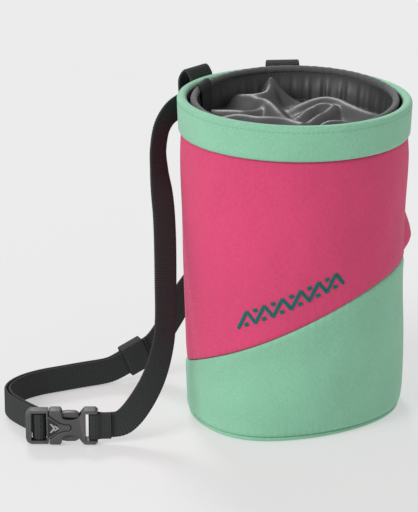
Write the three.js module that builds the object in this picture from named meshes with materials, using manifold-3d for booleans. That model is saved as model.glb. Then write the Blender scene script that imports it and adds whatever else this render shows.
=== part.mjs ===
// A climber's chalk bag with a twist closure, worn on a webbing belt with a side release buckle.
// Millimetres, +Z up. The origin is the centre of the base's underside, and -Y is the decorated front.
// Angles turn about Z from +X, and a wall's inset is measured inwards from the bag's outer face.
import * as THREE from 'three';
import { mergeVertices } from 'three/addons/utils/BufferGeometryUtils.js';
import Module from 'manifold-3d';

// Bag
const BAG_HEIGHT = 183;
const RIM_RADIUS = 65;
const BASE_RADIUS = 58.5;
const RIM_SKEW = -0.025; // share of the radius by which the rim bulges towards the +X +Y diagonal
const BASE_SKEW = 0.068;
const GAP = 0.3; // clearance between pieces that touch
const PANEL_THICKNESS = 1.3;
const BAND_HEIGHT = 20;
const BAND_SKIN = 0.9;
const BAND_FOLD = 4.5; // thickness of the folded band over its hoop
const BAND_TURN_IN = 10; // how far the band comes down on the inside
const HOOP_RADIUS = 1;
const LINING_THICKNESS = 2;
const BASE_THICKNESS = 2.6;
const STIFFENER_THICKNESS = 3;
const SEAM_HEIGHT = 61.5; // the slanting seam's mean height
const SEAM_RISE = 28.5;
const SEAM_TURN = degrees(8);
const SEAM_SAG = 4.5; // how much further the seam drops at the left hand side
const SEAM_SAG_REACH = 0.5; // to either side of there, in radians
const ROUND_STEPS = 72;

// Twist closure
const RING_RADIUS = 58.3;
const RING_PIVOT = new THREE.Vector3(0.3, -0.2, 181); // the axis leans back through this point
const RING_TILT = degrees(3); // how far the ring dips at the front
const RING_DEPTH = 3.8;
const RING_TOP = BAG_HEIGHT - 0.2;
const RING_BOTTOM = RING_TOP - 8.3;
const RING_SKIN = 0.6;
const SLEEVE_BOTTOM = RING_TOP - 26;
const SLEEVE_THICKNESS = 6;
const TAB_ANGLE = degrees(158);
const TAB_WIDTH = 14;
const TAB_THICKNESS = 1.1;
const NECK_RADIUS = 5;

// Belt
const STRAP_WIDTH = 15;
const STRAP_THICKNESS = 1.6;
const BELT_HEIGHT = BAG_HEIGHT - 14;
const BELT_STAND_OFF = 1.4;
const LEFT_LOOP_ANGLE = degrees(140);
const BACK_LOOP_ANGLE = degrees(94);
const LOOP_WIDTH = 19;
const LEFT_LOOP_RISE = 4; // how far a loop's top stands over the rim
const BACK_LOOP_RISE = 1.6;
const BRUSH_LOOP_ANGLE = degrees(24);
const BRUSH_LOOP_WIDTH = 26;
const BRUSH_LOOP_THICKNESS = 1.2;
const KEEPER_LENGTH = 14;
const KEEPER_SKIN = 1;

// Buckle, standing on its edge with its length along X
const BUCKLE_CENTRE = new THREE.Vector3(-129.3, -62.8, 10.3);
const BUCKLE_HALF = 20;
const BUCKLE_HALF_HEIGHT = 10;
const SOCKET_THICKNESS = 8;
const PLUG_THICKNESS = 6;
const ARM_THICKNESS = 4.6;

const COLOURS = {
  mint: 0x92cfae,
  raspberry: 0xcf4477,
  fleece: 0x6c6c6c,
  satin: 0x5b5b5b,
  webbing: 0x2f2f2f,
  plastic: 0x4b4b4b,
  foam: 0xd8d8d4,
  spring: 0xb8b8b8,
};

const wasm = await Module();
wasm.setup();

function degrees(value) {
  return THREE.MathUtils.degToRad(value);
}

function cloth(colour) {
  return new THREE.MeshStandardMaterial({ color: colour, roughness: 0.9, metalness: 0 });
}

function satin() {
  return new THREE.MeshStandardMaterial({ color: COLOURS.satin, roughness: 0.35, metalness: 0 });
}

function plastic() {
  return new THREE.MeshStandardMaterial({ color: COLOURS.plastic, roughness: 0.45, metalness: 0 });
}

function named(name, geometry, material) {
  const mesh = new THREE.Mesh(geometry, material);
  mesh.name = name;
  return mesh;
}

// Geometry helpers

function welded(geometry) {
  geometry.deleteAttribute('normal');
  geometry.deleteAttribute('uv');
  return mergeVertices(geometry, 1e-4);
}

function signedVolume(geometry) {
  const at = geometry.attributes.position;
  const [a, b, c] = [new THREE.Vector3(), new THREE.Vector3(), new THREE.Vector3()];
  let volume = 0;
  for (let i = 0; i < geometry.index.count; i += 3) {
    a.fromBufferAttribute(at, geometry.index.getX(i));
    b.fromBufferAttribute(at, geometry.index.getX(i + 1));
    c.fromBufferAttribute(at, geometry.index.getX(i + 2));
    volume += a.dot(b.cross(c)) / 6;
  }
  return volume;
}

// Welds a geometry and turns its faces outwards.
function solid(geometry) {
  const result = welded(geometry);
  if (signedVolume(result) < 0) {
    const index = result.index;
    for (let i = 0; i < index.count; i += 3) {
      const first = index.getX(i);
      index.setX(i, index.getX(i + 1));
      index.setX(i + 1, first);
    }
  }
  result.computeVertexNormals();
  return result;
}

function toManifold(geometry) {
  const closed = solid(geometry);
  return new wasm.Manifold(new wasm.Mesh({
    numProp: 3,
    vertProperties: new Float32Array(closed.attributes.position.array),
    triVerts: new Uint32Array(closed.index.array),
  }));
}

function fromManifold(body) {
  const mesh = body.getMesh();
  const geometry = new THREE.BufferGeometry();
  geometry.setAttribute('position', new THREE.BufferAttribute(mesh.vertProperties, 3));
  geometry.setIndex(new THREE.BufferAttribute(mesh.triVerts, 1));
  geometry.computeVertexNormals();
  return geometry;
}

function carve(stock, ...cutters) {
  const body = toManifold(stock);
  return fromManifold(cutters.map(toManifold).reduce((left, cutter) => left.subtract(cutter), body));
}

function unite(...pieces) {
  return fromManifold(pieces.map(toManifold).reduce((whole, piece) => whole.add(piece)));
}

// The bag's outer face

function bagRadius(angle, height) {
  const rise = THREE.MathUtils.clamp(height / BAG_HEIGHT, 0, 1);
  const bulge = Math.sin(2 * angle);
  const base = BASE_RADIUS * (1 + BASE_SKEW * bulge);
  return THREE.MathUtils.lerp(base, RIM_RADIUS * (1 + RIM_SKEW * bulge), rise);
}

function onBag(angle, height, standOff = 0) {
  const radius = bagRadius(angle, height) + standOff;
  return new THREE.Vector3(radius * Math.cos(angle), radius * Math.sin(angle), height);
}

function seamHeight(angle) {
  const fromLeft = Math.atan2(-Math.sin(angle), -Math.cos(angle));
  const sag = SEAM_SAG * Math.exp(-((fromLeft / SEAM_SAG_REACH) ** 2));
  return SEAM_HEIGHT + SEAM_RISE * Math.cos(angle + SEAM_TURN) - sag;
}

// Turns a profile of points about Z. place(point, angle) gives each point's position.
function turned(profile, place) {
  const outline = profile.map((point, i) => new THREE.Vector2(1, i));
  const geometry = new THREE.LatheGeometry(outline, ROUND_STEPS);
  const at = geometry.attributes.position;
  for (let i = 0; i < at.count; i += 1) {
    const step = Math.floor(i / profile.length) % ROUND_STEPS;
    const spot = place(profile[i % profile.length], (step / ROUND_STEPS) * 2 * Math.PI);
    at.setXYZ(i, spot.x, spot.y, spot.z);
  }
  return solid(geometry);
}

// A wall that follows the bag. A profile point is [inset, height or a function of the angle].
function wall(points) {
  return turned([...points, points[0]], ([inset, height], angle) => {
    const level = typeof height === 'function' ? height(angle) : height;
    return onBag(angle, level, -inset);
  });
}

// A disc that fills the bag at its foot. A point is [inset, height], and the ends lie on the axis.
function disc(points) {
  const ends = [points[0][1], points[points.length - 1][1]].map((height) => [null, height]);
  return turned([ends[0], ...points, ends[1]], ([inset, height], angle) => {
    return inset === null ? new THREE.Vector3(0, 0, height) : onBag(angle, height, -inset);
  });
}

// A true ring about the closure's axis. A profile point is [radius, height].
function ring(points) {
  return turned([...points, points[0]], ([radius, height], angle) => {
    return new THREE.Vector3(radius * Math.cos(angle), radius * Math.sin(angle), height);
  });
}

function circle(centre, height, radius, sides = 8) {
  return Array.from({ length: sides }, (_, i) => {
    const turn = (i / sides) * 2 * Math.PI;
    return [centre + radius * Math.cos(turn), height + radius * Math.sin(turn)];
  });
}

// A ribbon through stations of { centre, across, facing }, made by bending a box.
function ribbon(stations, width, thickness) {
  const last = stations.length - 1;
  const geometry = new THREE.BoxGeometry(1, 1, 1, 1, 1, last);
  const at = geometry.attributes.position;
  for (let i = 0; i < at.count; i += 1) {
    const { centre, across, facing } = stations[Math.round((at.getZ(i) + 0.5) * last)];
    const spot = centre.clone();
    spot.addScaledVector(across, at.getX(i) * width);
    spot.addScaledVector(facing, at.getY(i) * thickness);
    at.setXYZ(i, spot.x, spot.y, spot.z);
  }
  return solid(geometry);
}

// A strap along route points of [x, y, z, turn], where turn is the angle that its outer face has
// turned from +Y towards -X, in degrees. layer shifts it along that face's direction.
function strapStations(route, steps, layer = 0) {
  const path = new THREE.CatmullRomCurve3(route.map(([x, y, z]) => new THREE.Vector3(x, y, z)));
  const turns = new THREE.CatmullRomCurve3(route.map(([, , , turn]) => new THREE.Vector3(turn, 0, 0)));
  return Array.from({ length: steps + 1 }, (_, i) => {
    const t = i / steps;
    const turn = degrees(turns.getPoint(t).x);
    const outward = new THREE.Vector3(-Math.sin(turn), Math.cos(turn), 0);
    const along = path.getTangent(t);
    const across = outward.clone().cross(along).normalize();
    const facing = along.clone().cross(across).normalize();
    return { centre: path.getPoint(t).addScaledVector(facing, layer), across, facing };
  });
}

// An arch that stands out from a wall. A point is [distance from the axis, height].
function archStations(angle, centre, points, steps) {
  const path = new THREE.CatmullRomCurve3(points.map(([out, height]) => new THREE.Vector3(
    centre.x + out * Math.cos(angle), centre.y + out * Math.sin(angle), height)));
  const across = new THREE.Vector3(-Math.sin(angle), Math.cos(angle), 0);
  return Array.from({ length: steps + 1 }, (_, i) => {
    const facing = path.getTangent(i / steps).cross(across).normalize();
    return { centre: path.getPoint(i / steps), across, facing };
  });
}

// Bag pieces

function basePanel() {
  const round = 1.2;
  return disc([[3.2, 0], [round, 0.5], [0.2, 1.6], [0.2, BASE_THICKNESS]]);
}

function baseStiffener() {
  const low = BASE_THICKNESS + GAP;
  const inset = PANEL_THICKNESS + GAP;
  return disc([[inset, low], [inset, low + STIFFENER_THICKNESS]]);
}

function lowerPanel() {
  const low = BASE_THICKNESS + GAP;
  const high = (angle) => seamHeight(angle) - GAP / 2;
  return wall([[0, low], [0, high], [PANEL_THICKNESS, high], [PANEL_THICKNESS, low]]);
}

function upperPanel() {
  const low = (angle) => seamHeight(angle) + GAP / 2;
  const high = BAG_HEIGHT - BAND_HEIGHT - GAP;
  return wall([[0, low], [0, high], [PANEL_THICKNESS, high], [PANEL_THICKNESS, low]]);
}

function rimBand() {
  const low = BAG_HEIGHT - BAND_HEIGHT;
  const turnIn = BAG_HEIGHT - BAND_TURN_IN;
  const crown = 0.4;
  const shoulder = 1.6;
  return wall([
    [0, low], [0, BAG_HEIGHT - shoulder], [0.7, BAG_HEIGHT - crown], [BAND_FOLD / 2, BAG_HEIGHT],
    [BAND_FOLD - 0.7, BAG_HEIGHT - crown], [BAND_FOLD, BAG_HEIGHT - shoulder], [BAND_FOLD, turnIn],
    [BAND_FOLD - BAND_SKIN, turnIn], [BAND_FOLD - BAND_SKIN, BAG_HEIGHT - shoulder - GAP],
    [BAND_FOLD / 2, BAG_HEIGHT - BAND_SKIN], [BAND_SKIN, BAG_HEIGHT - shoulder - GAP], [BAND_SKIN, low],
  ]);
}

function rimHoop() {
  return wall(circle(BAND_FOLD / 2, BAG_HEIGHT - BAND_SKIN - GAP - HOOP_RADIUS, HOOP_RADIUS));
}

function liningWall() {
  const outer = PANEL_THICKNESS + 2 * GAP;
  const inner = outer + LINING_THICKNESS;
  const low = BASE_THICKNESS + STIFFENER_THICKNESS + 2 * GAP;
  const high = BAG_HEIGHT - BAND_TURN_IN - GAP;
  return wall([[outer, low], [outer, high], [inner, high], [inner, low]]);
}

function liningBase() {
  const inset = PANEL_THICKNESS + LINING_THICKNESS + 3 * GAP;
  const low = BASE_THICKNESS + STIFFENER_THICKNESS + 2 * GAP;
  return disc([[inset, low], [inset, low + LINING_THICKNESS]]);
}

// A webbing loop that holds the belt to the band, rising a little over the rim.
function beltLoop(angle, rise) {
  const out = bagRadius(angle, BAG_HEIGHT) + STRAP_THICKNESS / 2 + 0.4;
  const top = BAG_HEIGHT;
  const points = [
    [out, top - 5], [out + 0.4, top], [out + 4.2, top + rise], [out + 8.6, top - 1],
    [out + 8.8, top - 10], [out + 7.8, top - 20], [out + 3, top - 27], [out - 0.5, top - 31],
  ];
  const stations = archStations(angle, new THREE.Vector3(), points, 24);
  return ribbon(stations, LOOP_WIDTH, STRAP_THICKNESS);
}

// A band of fabric on the right hand side that holds a brush.
function brushHolder() {
  const out = bagRadius(BRUSH_LOOP_ANGLE, 100) + 1.2;
  const points = [
    [out + 0.5, 121], [out + 0.9, 117], [out + 3.4, 108], [out + 6, 98], [out + 6.4, 92], [out + 3.6, 87],
    [out + 0.6, 83.5],
  ];
  const stations = archStations(BRUSH_LOOP_ANGLE, new THREE.Vector3(), points, 14);
  return ribbon(stations, BRUSH_LOOP_WIDTH, BRUSH_LOOP_THICKNESS);
}

// Closure pieces, made about the closure's own axis

function twistCasing() {
  const inner = RING_RADIUS - RING_DEPTH;
  const middle = RING_RADIUS - RING_DEPTH / 2;
  const shoulder = RING_TOP - 1.5;
  return ring([
    [RING_RADIUS, RING_BOTTOM], [RING_RADIUS, shoulder], [middle, RING_TOP], [inner, shoulder],
    [inner, RING_BOTTOM], [inner + RING_SKIN, RING_BOTTOM], [inner + RING_SKIN, shoulder - GAP],
    [middle, RING_TOP - RING_SKIN - GAP], [RING_RADIUS - RING_SKIN, shoulder - GAP],
    [RING_RADIUS - RING_SKIN, RING_BOTTOM],
  ]);
}

function twistHoop() {
  const level = RING_TOP - 2 * GAP - RING_SKIN - HOOP_RADIUS;
  return ring(circle(RING_RADIUS - RING_DEPTH / 2, level, HOOP_RADIUS));
}

function pullTab() {
  const inner = RING_RADIUS - RING_DEPTH - 1;
  const points = [
    [inner - 0.2, RING_TOP - 15], [inner - 0.1, RING_TOP - 6], [inner, RING_TOP],
    [inner + 1.6, RING_TOP + 1.6], [inner + 3.4, RING_TOP + 1],
  ];
  return ribbon(archStations(TAB_ANGLE, new THREE.Vector3(), points, 12), TAB_WIDTH, TAB_THICKNESS);
}

// The gathered sleeve, twisted shut, as a thick dished disc with a small neck.
function closureSleeve() {
  const outer = RING_RADIUS - RING_DEPTH - 2.2;
  const [middle, top] = [32, SLEEVE_BOTTOM + 17];
  return ring([
    [outer, top], [outer - 1.2, top], [outer - 2.5, top - 7], [middle, top - 9], [NECK_RADIUS, top - 5],
    [NECK_RADIUS, top - 6 - SLEEVE_THICKNESS], [middle, top - 9 - SLEEVE_THICKNESS],
    [outer, SLEEVE_BOTTOM],
  ]);
}

// Belt pieces

const SEWN_ROUTE = [
  [-58.6, 34.2, 169.0, 59], [-63.8, 28.4, 169.2, 57], [-69.6, 21.6, 166.8, 55], [-74.2, 14.0, 160.6, 52],
  [-76.2, 7.0, 150.0, 52], [-75.6, 1.2, 139.3, 47], [-74.2, -4.2, 128.5, 37], [-73.0, -8.6, 117.0, 35],
  [-72.3, -14.0, 102.8, 34], [-72.0, -22.0, 81.8, 35], [-72.0, -31.0, 61.2, 36], [-73.4, -38.6, 48.6, 32],
  [-78.4, -48.4, 33.2, 22], [-85.6, -56.6, 21.6, 10], [-92.4, -61.2, 14.0, 3], [-96.4, -62.5, 11.1, 0],
  [-99.9, -62.8, 10.5, 0],
];
const LONG_ROUTE = [
  [12.8, 64.6, 169.0, -10], [20.5, 64.6, 167.8, -8], [27.0, 66.5, 159.0, -2], [28.0, 69.5, 146.0, 0],
  [20.0, 72.0, 127.0, 2], [1.0, 73.0, 105.0, 4], [-24.0, 69.0, 82.0, 8], [-46.0, 60.5, 66.0, 14],
  [-61.0, 52.5, 50.0, 20], [-69.6, 48.2, 34.4, 22], [-80.5, 42.7, 19.8, 23], [-91.5, 37.95, 14.7, 23],
  [-102.5, 33.2, 9.6, 23], [-106.4, 31.5, 8.4, 24], [-110.4, 29.7, 8.0, 24],
];
const TURN_ROUTE = [
  [-112.2, 28.9, 7.9, 24], [-121.0, 24.9, 7.9, 24], [-134.4, 18.4, 7.8, 26], [-146.0, 12.2, 7.8, 33],
  [-155.6, 4.0, 7.8, 48], [-161.8, -6.0, 7.8, 68], [-163.6, -16.5, 7.9, 90], [-160.6, -28.0, 8.1, 112],
  [-154.6, -38.6, 8.6, 121], [-149.6, -47.0, 9.4, 122], [-146.4, -53.2, 10.0, 116],
  [-145.2, -57.6, 10.3, 100],
];
const WRAP_ROUTE = [
  [-145.1, -58.6, 10.3, 93], [-145.0, -61.8, 10.3, 95], [-143.8, -64.4, 10.3, 135],
  [-141.6, -65.2, 10.3, 180], [-139.6, -64.2, 10.3, 228], [-138.8, -61.8, 10.3, 262],
  [-138.7, -59.2, 10.3, 266],
];
const LAYER = STRAP_THICKNESS + 0.7; // distance between the main strap and its tail
const KEEPER_AT = new THREE.Vector3(-91.5, 37.95, 14.7); // on the main strap's middle
const KEEPER_ALONG = new THREE.Vector3(-22, -9.5, -10.2).normalize();
const KEEPER_TURN = degrees(23);

function beltBackRun() {
  const [from, to] = [degrees(149), degrees(80)];
  const steps = 18;
  const stations = Array.from({ length: steps + 1 }, (_, i) => {
    const angle = THREE.MathUtils.lerp(from, to, i / steps);
    return {
      centre: onBag(angle, BELT_HEIGHT, BELT_STAND_OFF),
      across: new THREE.Vector3(0, 0, 1),
      facing: new THREE.Vector3(Math.cos(angle), Math.sin(angle), 0),
    };
  });
  return ribbon(stations, STRAP_WIDTH, STRAP_THICKNESS);
}

function strap(route, steps, layer = 0) {
  return ribbon(strapStations(route, steps, layer), STRAP_WIDTH, STRAP_THICKNESS);
}

// The belt's tail beside a part of a route, between two shares of its length.
function tail(route, from, to, steps) {
  const [first, last] = [Math.round(from * steps), Math.round(to * steps)];
  const stations = strapStations(route, steps, -LAYER).slice(first, last + 1);
  return ribbon(stations, STRAP_WIDTH, STRAP_THICKNESS);
}

// A sleeve of webbing around the strap and its tail.
function beltKeeper() {
  const height = STRAP_WIDTH + 2 * KEEPER_SKIN + 1;
  const depth = LAYER + STRAP_THICKNESS + 2 * KEEPER_SKIN + 1.5;
  return carve(
    new THREE.BoxGeometry(KEEPER_LENGTH, depth, height),
    new THREE.BoxGeometry(KEEPER_LENGTH + 1, depth - 2 * KEEPER_SKIN, height - 2 * KEEPER_SKIN),
  ).translate(0, -LAYER / 2, 0);
}

// Buckle pieces, made about the buckle's centre

function plate(points, thickness) {
  const shape = new THREE.Shape(points.map(([x, z]) => new THREE.Vector2(x, z)));
  const geometry = new THREE.ExtrudeGeometry(shape, { depth: thickness, bevelEnabled: false });
  geometry.translate(0, 0, -thickness / 2);
  return geometry.rotateX(Math.PI / 2);
}

function block(x, width, depth, z, height) {
  return new THREE.BoxGeometry(width, depth, height).translate(x, 0, z);
}

function mirrored(points) {
  return [...points, ...points.slice().reverse().map(([x, z]) => [x, -z])];
}

function buckleSocket() {
  const top = BUCKLE_HALF_HEIGHT;
  const body = plate(mirrored([
    [-7, 9.2], [-6.2, top], [-0.8, top], [0, 8.4], [0.6, 5.6], [2.2, 4.8], [6, 4.6], [9, 5.6], [11, 8.2],
    [12.6, top], [18.6, top], [BUCKLE_HALF, 8.8],
  ]), SOCKET_THICKNESS);
  const mouth = plate(mirrored([
    [-8, 8.4], [-5.6, 6.4], [-3.8, 4.9], [-1, 3], [2.3, 2], [4.4, 2], [5.4, 1.1],
  ]), SOCKET_THICKNESS + 1);
  const cavity = block(1.5, 19, ARM_THICKNESS + 0.8, 0, 17.8);
  const opening = STRAP_WIDTH + 1;
  const slot = block(14.85, 3.5, SOCKET_THICKNESS + 1, 0, opening);
  const behindBar = block(19.6, 1.6, SOCKET_THICKNESS + 1, 0, opening);
  const overBar = [-1, 1].map((side) => block(17.2, 6.4, 3, 0, opening).translate(0, side * 3.1, 0));
  return carve(body, mouth, cavity, slot, behindBar, ...overBar);
}

// The folded end of the belt around the socket's bar.
function socketFold() {
  const [left, right, outer, flat] = [14.9, 28, 3.2, 1.75];
  const loop = plate([
    [left, -1.6], [left, 1.6], [left + 1.1, outer], [19, outer], [22, flat], [right, flat],
    [right, -flat], [22, -flat], [19, -outer], [left + 1.1, -outer],
  ], STRAP_WIDTH);
  const around = plate([
    [16.3, -1.9], [16.3, 1.9], [19.3, 1.9], [20.6, 0.6], [20.6, -0.6], [19.3, -1.9],
  ], STRAP_WIDTH + 5);
  return carve(loop, around).rotateX(-Math.PI / 2);
}

function plugFrame() {
  const top = BUCKLE_HALF_HEIGHT;
  const frame = plate(mirrored([
    [-BUCKLE_HALF, 6.5], [-19.2, 8.8], [-17.2, top], [-7.4, top],
  ]), PLUG_THICKNESS);
  const window = block(-12.65, 8.7, PLUG_THICKNESS + 1, 0, 16.2);
  const bar = block(-12.5, 2.6, 1.6, 0, 17);
  const tongue = plate(mirrored([
    [-8, 3.6], [-5.6, 3.4], [-1.4, 1.5], [4, 1.5], [4.9, 0.8],
  ]), ARM_THICKNESS);
  return unite(carve(frame, window), bar, tongue);
}

// A sprung arm of the plug, above the tongue for side 1 and below it for side -1.
function plugArm(side) {
  const points = [
    [-7.1, 5], [-7.1, 7.4], [-1, 7.2], [0.6, 8.2], [3, 8.6], [7.6, 8.5], [9.4, 7.4], [10, 5.6], [8.4, 5.2],
    [0.4, 5.6],
  ];
  return solid(plate(points.map(([x, z]) => [x, side * z]), ARM_THICKNESS));
}

// Assembly

const bag = new THREE.Group();
bag.add(
  named('base_panel', basePanel(), cloth(COLOURS.mint)),
  named('base_stiffener', baseStiffener(), cloth(COLOURS.foam)),
  named('lower_panel', lowerPanel(), cloth(COLOURS.mint)),
  named('upper_panel', upperPanel(), cloth(COLOURS.raspberry)),
  named('rim_band', rimBand(), cloth(COLOURS.mint)),
  named('rim_hoop', rimHoop(), cloth(COLOURS.spring)),
  named('lining_wall', liningWall(), cloth(COLOURS.fleece)),
  named('lining_base', liningBase(), cloth(COLOURS.fleece)),
  named('belt_loop_left', beltLoop(LEFT_LOOP_ANGLE, LEFT_LOOP_RISE), cloth(COLOURS.webbing)),
  named('belt_loop_back', beltLoop(BACK_LOOP_ANGLE, BACK_LOOP_RISE), cloth(COLOURS.webbing)),
  named('brush_holder', brushHolder(), cloth(COLOURS.raspberry)),
);

const upright = new THREE.Group();
upright.position.z = -RING_PIVOT.z;
upright.add(
  named('twist_casing', twistCasing(), satin()),
  named('twist_hoop', twistHoop(), cloth(COLOURS.spring)),
  named('twist_pull_tab', pullTab(), cloth(COLOURS.webbing)),
  named('closure_sleeve', closureSleeve(), satin()),
);
const closure = new THREE.Group();
closure.position.copy(RING_PIVOT);
closure.rotation.x = RING_TILT;
closure.add(upright);

const belt = new THREE.Group();
const keeper = named('belt_keeper', beltKeeper(), cloth(COLOURS.webbing));
keeper.position.copy(KEEPER_AT);
keeper.quaternion.setFromRotationMatrix(keeperAxes());
belt.add(
  named('belt_back_run', beltBackRun(), cloth(COLOURS.webbing)),
  named('belt_sewn_strand', strap(SEWN_ROUTE, 40), cloth(COLOURS.webbing)),
  named('belt_long_strand', strap(LONG_ROUTE, 48), cloth(COLOURS.webbing)),
  named('belt_turn', strap(TURN_ROUTE, 26), cloth(COLOURS.webbing)),
  named('belt_wrap', strap(WRAP_ROUTE, 10), cloth(COLOURS.webbing)),
  named('belt_tail', tail(TURN_ROUTE, 0, 0.96, 26), cloth(COLOURS.webbing)),
  named('belt_tail_end', tail(LONG_ROUTE, 0.79, 1, 48), cloth(COLOURS.webbing)),
  keeper,
);

// The keeper's own X lies along the strap, and its Y through the strap's thickness.
function keeperAxes() {
  const outward = new THREE.Vector3(-Math.sin(KEEPER_TURN), Math.cos(KEEPER_TURN), 0);
  const across = outward.clone().cross(KEEPER_ALONG).normalize();
  const facing = KEEPER_ALONG.clone().cross(across).normalize();
  return new THREE.Matrix4().makeBasis(KEEPER_ALONG, facing, across.negate());
}

const buckle = new THREE.Group();
buckle.position.copy(BUCKLE_CENTRE);
buckle.add(
  named('buckle_socket', buckleSocket(), plastic()),
  named('socket_fold', socketFold(), cloth(COLOURS.webbing)),
  named('plug_frame', plugFrame(), plastic()),
  named('plug_arm_upper', plugArm(1), plastic()),
  named('plug_arm_lower', plugArm(-1), plastic()),
);

const chalkBag = new THREE.Group();
chalkBag.add(bag, closure, belt, buckle);

export default chalkBag;
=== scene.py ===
import math

import bmesh
import bpy
import numpy as np
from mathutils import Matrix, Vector


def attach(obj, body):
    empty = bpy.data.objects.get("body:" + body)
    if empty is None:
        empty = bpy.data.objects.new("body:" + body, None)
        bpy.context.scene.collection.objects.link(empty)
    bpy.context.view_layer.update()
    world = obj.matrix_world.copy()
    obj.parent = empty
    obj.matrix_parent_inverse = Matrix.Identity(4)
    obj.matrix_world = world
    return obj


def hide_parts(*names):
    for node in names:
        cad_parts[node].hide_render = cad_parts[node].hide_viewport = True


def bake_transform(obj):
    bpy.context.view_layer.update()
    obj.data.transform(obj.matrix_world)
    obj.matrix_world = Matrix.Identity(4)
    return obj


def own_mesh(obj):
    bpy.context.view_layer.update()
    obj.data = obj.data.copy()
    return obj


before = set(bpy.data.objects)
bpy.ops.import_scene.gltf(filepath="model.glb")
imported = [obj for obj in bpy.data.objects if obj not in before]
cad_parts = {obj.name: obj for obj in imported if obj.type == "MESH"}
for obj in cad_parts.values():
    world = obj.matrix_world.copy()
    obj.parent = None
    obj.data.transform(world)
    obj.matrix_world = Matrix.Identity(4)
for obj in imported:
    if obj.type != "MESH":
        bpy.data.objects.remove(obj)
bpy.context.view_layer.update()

# All lengths are in millimetres until a mesh is made, except the camera's and those in the materials.
# +Z is up, -Y is the decorated front.
MM = 0.001

# The bag. A skew makes a round outline slightly oval along a diagonal, and the seam slants all the way
# round and sags a little at the left.
BAG_HEIGHT = 183.0
RIM_RADIUS = 65.0
BASE_RADIUS = 58.5
RIM_SKEW = -0.025
BASE_SKEW = 0.068
SEAM_HEIGHT = 61.5
SEAM_RISE = 28.5
SEAM_TURN = math.radians(8)
SEAM_SAG = 4.5
SEAM_SAG_REACH = 0.5
GAP = 0.3
PANEL_THICKNESS = 1.3
BAND_HEIGHT = 20.0
BAND_FOLD = 4.5
BAND_TURN_IN = 10.0
LINING_THICKNESS = 2.0
LINING_FOOT = 6.4
BAND_STITCH_HEIGHT = BAG_HEIGHT - 3.4
MIDDLE_RADIUS = 62.0
ROUND_STEPS = 360

# The twist closure's ring, and the tab that turns it
RING_RADIUS = 58.3
RING_PIVOT = np.array([0.3, -0.2, 181.0])
RING_TILT = math.radians(3)
RING_DEPTH = 3.8
RING_TOP = BAG_HEIGHT - 0.2
BEAD_MIDDLE = RING_RADIUS - RING_DEPTH / 2
TAB_ANGLE = math.radians(158)

# Webbing. LAYER is from one layer of the doubled strap to the next, and BUCKLE is the buckle's middle.
STRAP_WIDTH = 15.0
STRAP_THICKNESS = 1.6
SWEPT_THICKNESS = STRAP_THICKNESS - 0.15
LOOP_WIDTH = 19
BRUSH_ANGLE = math.radians(24)
BRUSH_WIDTH = 26
RIB_PITCH = 1.3
LAYER = 2.3
BUCKLE = np.array([-129.3, -62.8, 10.3])

MOTIF_ANGLE = math.radians(-92.3)
MOTIF_RISE = 18.0


def linked(name, data):
    """A new object in the scene."""
    obj = bpy.data.objects.new(name, data)
    bpy.context.scene.collection.objects.link(obj)
    return obj


# Camera and light

CAMERA_TILT = math.radians(18.3)
CAMERA_DISTANCE = 1.6
CAMERA_TARGET = Vector((-0.0476, 0, 0.0887))
CAMERA_LENS = 198.07


def make_camera():
    data = bpy.data.cameras.new("camera")
    data.lens = CAMERA_LENS
    data.sensor_width = 36
    camera = linked("camera", data)
    back = Vector((0, -math.cos(CAMERA_TILT), math.sin(CAMERA_TILT)))
    camera.location = CAMERA_TARGET + CAMERA_DISTANCE * back
    camera.rotation_euler = (math.pi / 2 - CAMERA_TILT, 0, 0)
    data.clip_end = 50
    bpy.context.scene.camera = camera


def make_sun(name, energy, direction, spread):
    """A wide, soft light that shines from a direction."""
    data = bpy.data.lights.new(name, "SUN")
    data.energy = energy
    data.angle = math.radians(spread)
    light = linked(name, data)
    light.rotation_euler = Vector(direction).to_track_quat("Z", "Y").to_euler()


def make_studio():
    scene = bpy.context.scene
    scene.view_settings.view_transform = "Standard"
    world = bpy.data.worlds.new("studio")
    world.use_nodes = True
    background = world.node_tree.nodes["Background"]
    background.inputs["Color"].default_value = (1, 1, 1, 1)
    background.inputs["Strength"].default_value = 0.52
    scene.world = world
    make_sun("key", 1.65, (-0.95, -0.75, 0.7), 30)
    make_sun("back", 1.1, (-0.15, 0.8, 0.75), 14)


make_camera()
make_studio()


# Materials

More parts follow.
